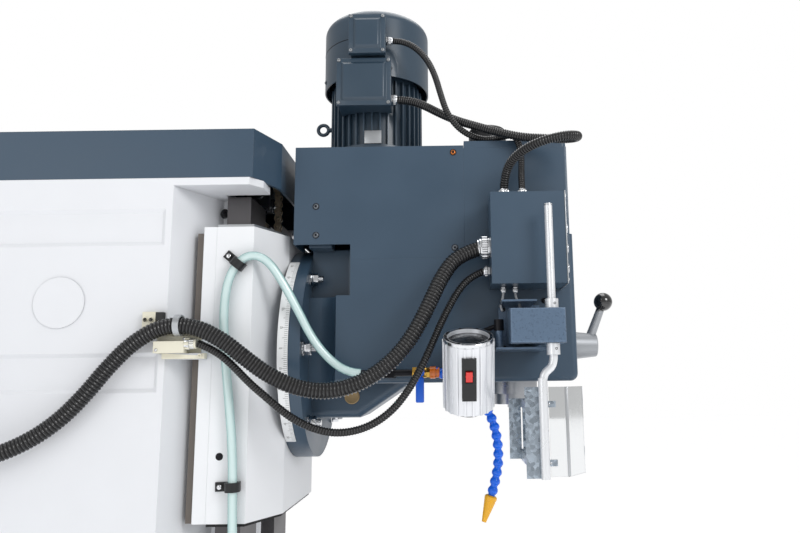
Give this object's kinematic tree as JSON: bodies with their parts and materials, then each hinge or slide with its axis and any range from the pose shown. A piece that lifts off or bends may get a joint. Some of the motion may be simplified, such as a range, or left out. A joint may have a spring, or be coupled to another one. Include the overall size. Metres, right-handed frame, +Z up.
{
  "type": "bed-type vertical milling machine",
  "caption": "Vertical milling machine: column with a counterweighted swivelling head, motor, spindle, cutter guard, work lamp and coolant line over a cross-slide table.",
  "frame": {"origin": "on the floor, directly under the spindle's axis at rest", "axes": "+Z up along the spindle, -Y towards the operator, +X along the table's travel"},
  "size_m": [1.628, 2.1465, 2.54],
  "materials": {
    "base": "painted off-white",
    "belt_cover": "blue-grey enamel",
    "cabinet_door": "powder coat",
    "cable_glands": "black",
    "chip_tray": "blue-grey enamel",
    "column": "painted off-white",
    "column_cap": "blue-grey enamel",
    "column_ways": "ground dark steel",
    "control_box": "grey with an aluminium panel",
    "coolant_hose": "blue",
    "coolant_nozzle": "yellow",
    "coolant_pipe": "turned",
    "coolant_pump": "grey enamel",
    "counterweight": "raw",
    "counterweight_chain": "oiled",
    "cross_screw": "machined",
    "degree_scale": "white with black marks",
    "drive_belt": "ribbed",
    "electrical_cabinet": "powder coat",
    "feed_hose": "clear green",
    "front_sprocket": "oiled",
    "guard_cables": "light grey",
    "guard_frame": "galvanised",
    "guard_post": "matt plated",
    "guard_switch": "hammertone blue-grey",
    "guard_window": "clear polycarbonate",
    "head_casting": "blue-grey enamel",
    "head_fasteners": "plated",
    "head_slide": "painted off-white",
    "hose_clips": "black",
    "keeper_plates": "painted off-white",
    "lamp_arm": "black",
    "lamp_fittings": "black",
    "lamp_housing": "ribbed, matt",
    "lamp_lens": "smoked glass",
    "lamp_rocker": "red",
    "lift_mounts": "machined",
    "lift_screw": "ground",
    "limit_switch": "cream cover on a steel bracket",
    "main_conduit": "corrugated black",
    "main_switch": "black",
    "motor_body": "dark grey-blue enamel",
    "motor_conduit_a": "corrugated black",
    "motor_conduit_b": "corrugated black",
    "motor_cowl": "dark grey-blue enamel",
    "motor_shaft": "machined",
    "push_button_1": "green",
    "push_button_2": "yellow",
    "push_button_3": "red",
    "quill_sleeve": "ground",
    "rear_sprocket": "oiled",
    "saddle": "painted off-white",
    "small_conduit": "corrugated black",
    "speed_lever": "matt with a black ball",
    "spindle": "ground",
    "table": "ground",
    "table_screw": "machined",
    "tap_lever": "blue",
    "terminal_boxes": "black",
    "way_wipers": "matt"
  },
  "bodies": {
    "machine": {"base": "base", "chip_tray": "chip_tray", "coolant_pump": "coolant_pump", "column": "column", "column_ways": "column_ways", "column_cap": "column_cap", "counterweight_chain": "counterweight_chain", "lift_mounts": "lift_mounts", "limit_switch": "limit_switch", "electrical_cabinet": "electrical_cabinet"},
    "counterweight": {"counterweight": "counterweight"},
    "front_sprocket": {"front_sprocket": "front_sprocket"},
    "rear_sprocket": {"rear_sprocket": "rear_sprocket"},
    "lift_screw": {"lift_screw": "lift_screw"},
    "head_slide": {"head_slide": "head_slide", "keeper_plates": "keeper_plates", "way_wipers": "way_wipers", "hose_clips": "hose_clips", "feed_hose": "feed_hose"},
    "head": {"head_casting": "head_casting", "degree_scale": "degree_scale", "head_fasteners": "head_fasteners", "belt_cover": "belt_cover", "quill_sleeve": "quill_sleeve", "drive_belt": "drive_belt", "motor_body": "motor_body", "motor_cowl": "motor_cowl", "terminal_boxes": "terminal_boxes", "control_box": "control_box", "cable_glands": "cable_glands", "guard_switch": "guard_switch", "coolant_pipe": "coolant_pipe", "coolant_hose": "coolant_hose", "coolant_nozzle": "coolant_nozzle", "main_conduit": "main_conduit", "small_conduit": "small_conduit", "motor_conduit_a": "motor_conduit_a", "motor_conduit_b": "motor_conduit_b", "guard_cables": "guard_cables"},
    "spindle": {"spindle": "spindle"},
    "motor_shaft": {"motor_shaft": "motor_shaft"},
    "speed_lever": {"speed_lever": "speed_lever"},
    "push_button_1": {"push_button_1": "push_button_1"},
    "push_button_2": {"push_button_2": "push_button_2"},
    "push_button_3": {"push_button_3": "push_button_3"},
    "cutter_guard": {"guard_post": "guard_post", "guard_frame": "guard_frame", "guard_window": "guard_window"},
    "lamp_arm": {"lamp_arm": "lamp_arm"},
    "lamp": {"lamp_housing": "lamp_housing", "lamp_lens": "lamp_lens", "lamp_fittings": "lamp_fittings"},
    "lamp_rocker": {"lamp_rocker": "lamp_rocker"},
    "tap_lever": {"tap_lever": "tap_lever"},
    "saddle": {"saddle": "saddle"},
    "table": {"table": "table"},
    "table_screw": {"table_screw": "table_screw"},
    "cross_screw": {"cross_screw": "cross_screw"},
    "cabinet_door": {"cabinet_door": "cabinet_door"},
    "main_switch": {"main_switch": "main_switch"}
  },
  "joints": [
    {"name": "head_lift", "type": "slide", "parent": "machine", "child": "head_slide", "axis": [0, 0, 1], "range_m": [-0.48, 0.02], "deforming": ["counterweight_chain", "main_conduit", "small_conduit", "feed_hose"]},
    {"name": "counterweight_travel", "type": "slide", "parent": "machine", "child": "counterweight", "axis": [0, 0, 1], "range_m": [-0.03, 0.49]},
    {"name": "front_sprocket_turn", "type": "hinge", "parent": "machine", "child": "front_sprocket", "pos_m": [0, 0.6128, 2.104], "axis": [1, 0, 0], "range_deg": [-90, 700]},
    {"name": "rear_sprocket_turn", "type": "hinge", "parent": "machine", "child": "rear_sprocket", "pos_m": [0, 0.8795, 2.104], "axis": [1, 0, 0], "range_deg": [-90, 700]},
    {"name": "lift_screw_turn", "type": "hinge", "parent": "machine", "child": "lift_screw", "pos_m": [0, 0.606, 1.3], "axis": [0, 0, 1], "range_deg": [-17600, 900]},
    {"name": "head_tilt", "type": "hinge", "parent": "head_slide", "child": "head", "pos_m": [0, 0.457, 1.715], "axis": [0, -1, 0], "range_deg": [-45, 45]},
    {"name": "spindle_turn", "type": "hinge", "parent": "head", "child": "spindle", "pos_m": [0, 0, 1.6], "axis": [0, 0, 1], "continuous": true},
    {"name": "motor_turn", "type": "hinge", "parent": "head", "child": "motor_shaft", "pos_m": [0, 0.325, 2.1], "axis": [0, 0, 1], "continuous": true},
    {"name": "speed_lever_swing", "type": "hinge", "parent": "head", "child": "speed_lever", "pos_m": [-0.06, -0.128, 1.721], "axis": [0, 1, 0], "range_deg": [-40, 40]},
    {"name": "push_button_1_press", "type": "slide", "parent": "head", "child": "push_button_1", "axis": [0, 1, 0], "range_m": [0, 0.004], "stiffness_N_per_m": 800},
    {"name": "push_button_2_press", "type": "slide", "parent": "head", "child": "push_button_2", "axis": [0, 1, 0], "range_m": [0, 0.004], "stiffness_N_per_m": 800},
    {"name": "push_button_3_press", "type": "slide", "parent": "head", "child": "push_button_3", "axis": [0, 1, 0], "range_m": [0, 0.004], "stiffness_N_per_m": 800},
    {"name": "guard_swing", "type": "hinge", "parent": "head", "child": "cutter_guard", "pos_m": [-0.33, -0.056, 1.75], "axis": [0, 0, -1], "range_deg": [0, 90]},
    {"name": "lamp_swivel", "type": "hinge", "parent": "head", "child": "lamp_arm", "pos_m": [-0.285, 0.046, 1.75], "axis": [0, 0, 1], "range_deg": [-4, 6]},
    {"name": "lamp_tilt", "type": "hinge", "parent": "lamp_arm", "child": "lamp", "pos_m": [-0.258, 0.109, 1.738], "axis": [0, 1, 0], "range_deg": [0, 40]},
    {"name": "lamp_rocker_tip", "type": "hinge", "parent": "lamp", "child": "lamp_rocker", "pos_m": [-0.34607, 0.109, 1.65062], "axis": [0, 1, 0], "range_deg": [0, 6]},
    {"name": "tap_lever_turn", "type": "hinge", "parent": "head", "child": "tap_lever", "pos_m": [-0.23, 0.208, 1.661], "axis": [1, 0, 0], "range_deg": [0, 90]},
    {"name": "cross_screw_turn", "type": "hinge", "parent": "machine", "child": "cross_screw", "pos_m": [0, -0.5, 0.612], "axis": [0, 1, 0], "range_deg": [-10800, 10800]},
    {"name": "saddle_travel", "type": "slide", "parent": "machine", "child": "saddle", "axis": [0, 1, 0], "range_m": [-0.15, 0.15]},
    {"name": "table_screw_turn", "type": "hinge", "parent": "table", "child": "table_screw", "pos_m": [0, 0, 0.762], "axis": [1, 0, 0], "range_deg": [-25920, 25920]},
    {"name": "table_travel", "type": "slide", "parent": "saddle", "child": "table", "axis": [1, 0, 0], "range_m": [-0.36, 0.36]},
    {"name": "cabinet_door_swing", "type": "hinge", "parent": "machine", "child": "cabinet_door", "pos_m": [0.432, 1.408, 1.2], "axis": [0, 0, -1], "range_deg": [0, 110]},
    {"name": "main_switch_turn", "type": "hinge", "parent": "cabinet_door", "child": "main_switch", "pos_m": [-0.3, 1.419, 1.56], "axis": [0, 1, 0], "range_deg": [0, 90]}
  ],
  "couplings": [
    {"joint": "counterweight_travel", "follows": "head_lift", "ratio": -1},
    {"joint": "front_sprocket_turn", "follows": "head_lift", "rad_per_m": -23.362},
    {"joint": "rear_sprocket_turn", "follows": "head_lift", "rad_per_m": -23.362},
    {"joint": "lift_screw_turn", "follows": "head_lift", "rad_per_m": 628.32},
    {"joint": "motor_turn", "follows": "spindle_turn", "ratio": 1.5455},
    {"joint": "cross_screw_turn", "follows": "saddle_travel", "rad_per_m": 1256.6},
    {"joint": "table_screw_turn", "follows": "table_travel", "rad_per_m": 1256.6}
  ]
}
